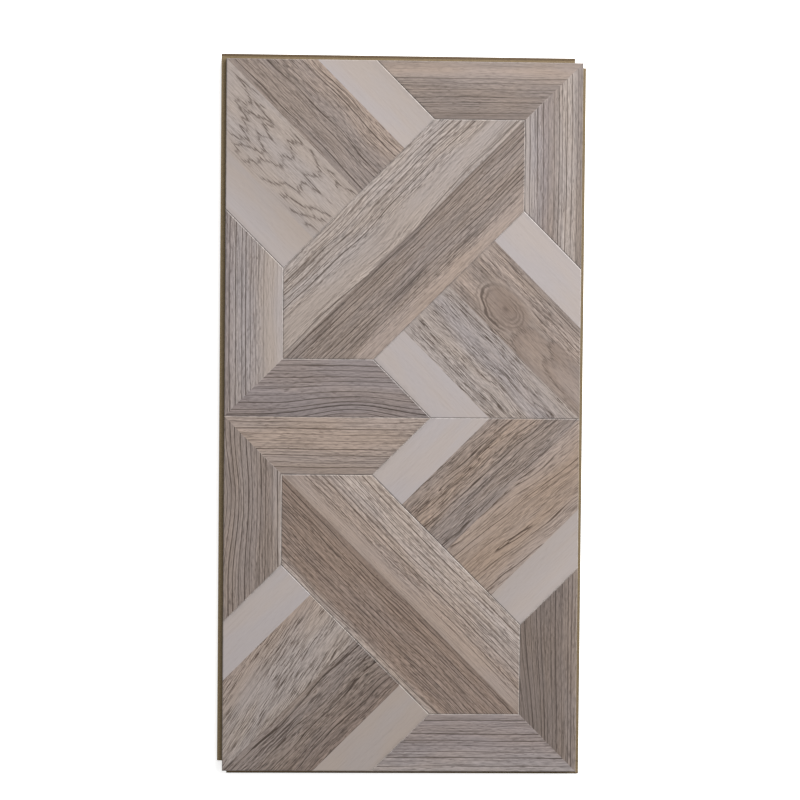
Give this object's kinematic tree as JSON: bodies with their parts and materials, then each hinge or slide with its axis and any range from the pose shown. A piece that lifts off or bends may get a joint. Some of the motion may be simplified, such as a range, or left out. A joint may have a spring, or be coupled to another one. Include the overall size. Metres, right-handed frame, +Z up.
{
  "type": "laminate floor plank",
  "caption": "Rectangular laminate floor plank with a printed parquet pattern of mitred frames and diagonal bands, V joints pressed into the face and a milled click joint on all sides",
  "frame": {"origin": "On the underside, below the middle of the printed face (the click joint's tongues and lower lips are left out of that middle).", "axes": "+X across the plank from the tongue long side to the groove long side; +Y along the plank from the groove end to the tongue end; +Z up out of the printed face."},
  "size_m": [0.4132, 0.8162, 0.012],
  "materials": {
    "printed_fibreboard": "high-density fibreboard with a printed, embossed and sealed wood decor on the face; bare brown board at the milled edges"
  },
  "bodies": {
    "root": {"plank": "printed_fibreboard"}
  },
  "joints": []
}
